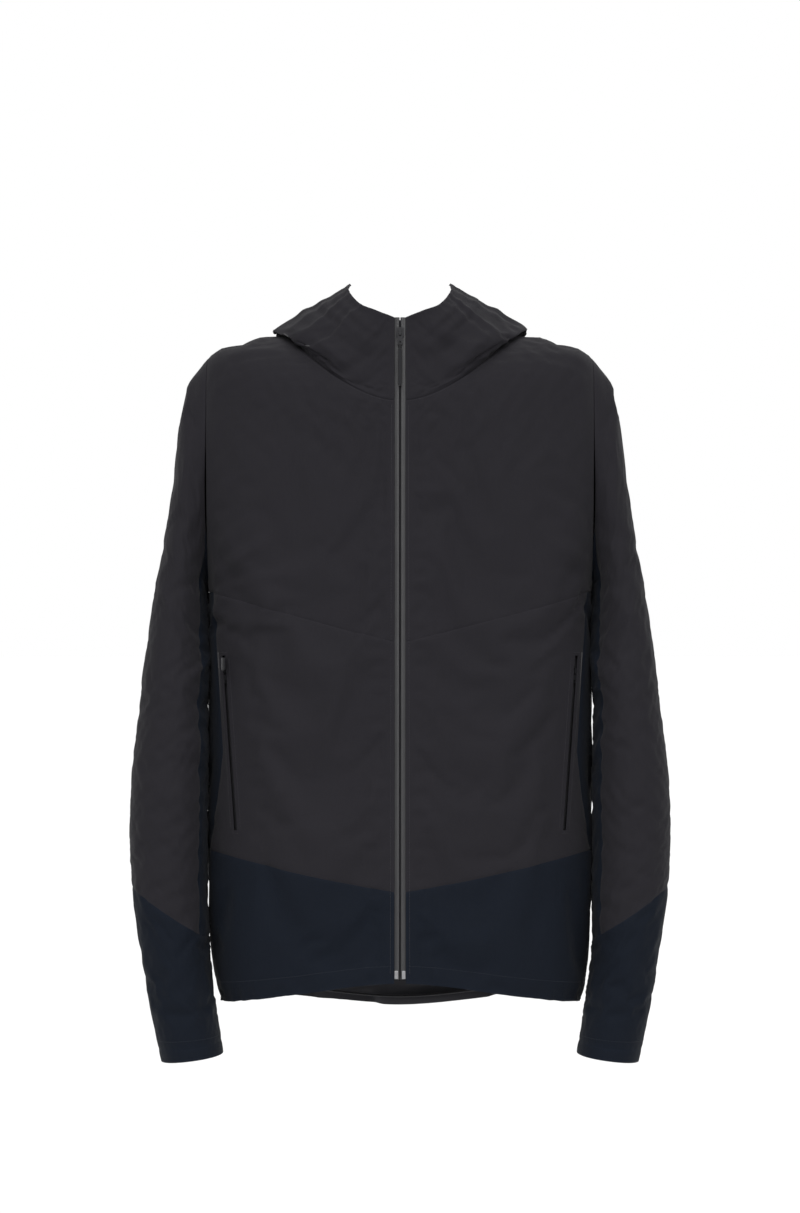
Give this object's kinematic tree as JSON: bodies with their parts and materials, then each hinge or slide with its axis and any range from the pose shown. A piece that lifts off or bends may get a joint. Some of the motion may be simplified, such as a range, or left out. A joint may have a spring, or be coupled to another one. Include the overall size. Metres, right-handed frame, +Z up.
{
  "type": "hooded shell jacket",
  "caption": "Hooded zip-front shell jacket with set-in sleeves, lowered hood, zipped hand pockets and two-tone panels.",
  "frame": {"origin": "on the wearer's vertical axis between the shoulder seams, at the level of the cuff edges", "axes": "+Z up, -Y towards the wearer's front, +X towards the wearer's left"},
  "size_m": [0.565, 0.3138, 0.8151],
  "materials": {
    "shell_charcoal": "matte woven stretch shell, warm charcoal",
    "shell_navy": "matte woven stretch shell, dark navy",
    "binding": "folded edge binding and tapes, black",
    "mesh_lining": "warp-knit mesh, black",
    "zip_tape": "laminated water-resistant zip tape, soft sheen",
    "coil": "black nylon coil",
    "cord": "black braided elastic cord and moulded grip",
    "dark_metal": "black painted die-cast metal",
    "grey_metal": "silver-grey metal, satin",
    "black_plastic": "black moulded plastic"
  },
  "bodies": {
    "torso": {"front_yoke_left": "shell_charcoal", "front_yoke_right": "shell_charcoal", "front_body_left": "shell_charcoal", "front_body_right": "shell_charcoal", "front_hem_left": "shell_navy", "front_hem_right": "shell_navy", "side_panel_left": "shell_navy", "side_panel_right": "shell_navy", "back_yoke": "shell_charcoal", "back_body": "shell_charcoal", "back_hem": "shell_navy", "collar_left": "shell_charcoal", "collar_right": "shell_charcoal", "sleeve_head_left": "shell_charcoal", "sleeve_head_right": "shell_charcoal", "neck_tape": "binding", "hanger_loop": "binding", "zip_tape_left": "zip_tape", "zip_tape_right": "zip_tape", "zip_coil_left": "coil", "zip_coil_right": "coil", "zip_top_stops": "grey_metal", "zip_retainer_box": "grey_metal", "zip_insertion_pin": "grey_metal", "storm_flap": "mesh_lining", "pocket_tape_left": "zip_tape", "pocket_tape_right": "zip_tape", "pocket_bag_left": "mesh_lining", "pocket_bag_right": "mesh_lining", "hem_cord": "cord", "hem_cord_lock_left": "black_plastic", "hem_cord_lock_right": "black_plastic"},
    "upper_arm_left": {"upper_sleeve_left": "shell_charcoal", "upper_sleeve_under_left": "shell_navy"},
    "forearm_part_left": {"lower_sleeve_left": "shell_charcoal", "lower_sleeve_under_left": "shell_navy", "forearm_left": "shell_navy", "cuff_binding_left": "binding"},
    "pocket_slider_body_left": {"pocket_slider_left": "dark_metal"},
    "pocket_pull_body_left": {"pocket_pull_left": "dark_metal"},
    "hem_button_left": {"hem_lock_button_left": "black_plastic"},
    "upper_arm_right": {"upper_sleeve_right": "shell_charcoal", "upper_sleeve_under_right": "shell_navy"},
    "forearm_part_right": {"lower_sleeve_right": "shell_charcoal", "lower_sleeve_under_right": "shell_navy", "forearm_right": "shell_navy", "cuff_binding_right": "binding"},
    "pocket_slider_body_right": {"pocket_slider_right": "dark_metal"},
    "pocket_pull_body_right": {"pocket_pull_right": "dark_metal"},
    "hem_button_right": {"hem_lock_button_right": "black_plastic"},
    "hood": {"hood_side_left": "shell_charcoal", "hood_side_right": "shell_charcoal", "hood_centre": "shell_charcoal", "hood_cord_lock": "black_plastic", "hood_cord": "cord"},
    "hood_button": {"hood_lock_button": "black_plastic"},
    "front_slider": {"zip_slider": "dark_metal"},
    "front_pull": {"zip_pull": "dark_metal", "zip_pull_cord": "cord"}
  },
  "joints": [
    {"name": "shoulder_left", "type": "hinge", "parent": "torso", "child": "upper_arm_left", "pos_m": [0.2417, 0, 0.6032], "axis": [0, -1, 0], "range_deg": [0, 60]},
    {"name": "elbow_left", "type": "hinge", "parent": "upper_arm_left", "child": "forearm_part_left", "pos_m": [0.24, -0.0905, 0.3915], "axis": [-1, 0, 0], "range_deg": [0, 65]},
    {"name": "shoulder_right", "type": "hinge", "parent": "torso", "child": "upper_arm_right", "pos_m": [-0.2417, 0, 0.6032], "axis": [0, 1, 0], "range_deg": [0, 60]},
    {"name": "elbow_right", "type": "hinge", "parent": "upper_arm_right", "child": "forearm_part_right", "pos_m": [-0.24, -0.0905, 0.3915], "axis": [-1, 0, 0], "range_deg": [0, 65]},
    {"name": "hood_lift", "type": "hinge", "parent": "torso", "child": "hood", "pos_m": [0, -0.06, 0.775], "axis": [1, 0, 0], "range_deg": [0, 75]},
    {"name": "hood_lock_press", "type": "slide", "parent": "hood", "child": "hood_button", "axis": [0, 0, -1], "range_m": [0, 0.003]},
    {"name": "front_zip", "type": "slide", "parent": "torso", "child": "front_slider", "axis": [0, -0.0707, -0.9975], "range_m": [0, 0.64]},
    {"name": "front_pull_flip", "type": "hinge", "parent": "front_slider", "child": "front_pull", "pos_m": [0, -0.10298, 0.75817], "axis": [-1, 0, 0], "range_deg": [0, 165]},
    {"name": "pocket_zip_left", "type": "slide", "parent": "torso", "child": "pocket_slider_body_left", "axis": [-0.0742, -0.1282, -0.989], "range_m": [0, 0.144]},
    {"name": "pocket_pull_flip_left", "type": "hinge", "parent": "pocket_slider_body_left", "child": "pocket_pull_body_left", "pos_m": [0.18155, -0.06964, 0.40917], "axis": [-0.6593, -0.7377, 0.1451], "range_deg": [0, 165]},
    {"name": "hem_lock_press_left", "type": "slide", "parent": "torso", "child": "hem_button_left", "axis": [-0.0333, -0.0838, -0.9959], "range_m": [0, 0.003]},
    {"name": "pocket_zip_right", "type": "slide", "parent": "torso", "child": "pocket_slider_body_right", "axis": [0.0742, -0.1282, -0.989], "range_m": [0, 0.144]},
    {"name": "pocket_pull_flip_right", "type": "hinge", "parent": "pocket_slider_body_right", "child": "pocket_pull_body_right", "pos_m": [-0.18155, -0.06964, 0.40917], "axis": [-0.6593, 0.7377, -0.1451], "range_deg": [0, 165]},
    {"name": "hem_lock_press_right", "type": "slide", "parent": "torso", "child": "hem_button_right", "axis": [0.0333, -0.0838, -0.9959], "range_m": [0, 0.003]}
  ]
}
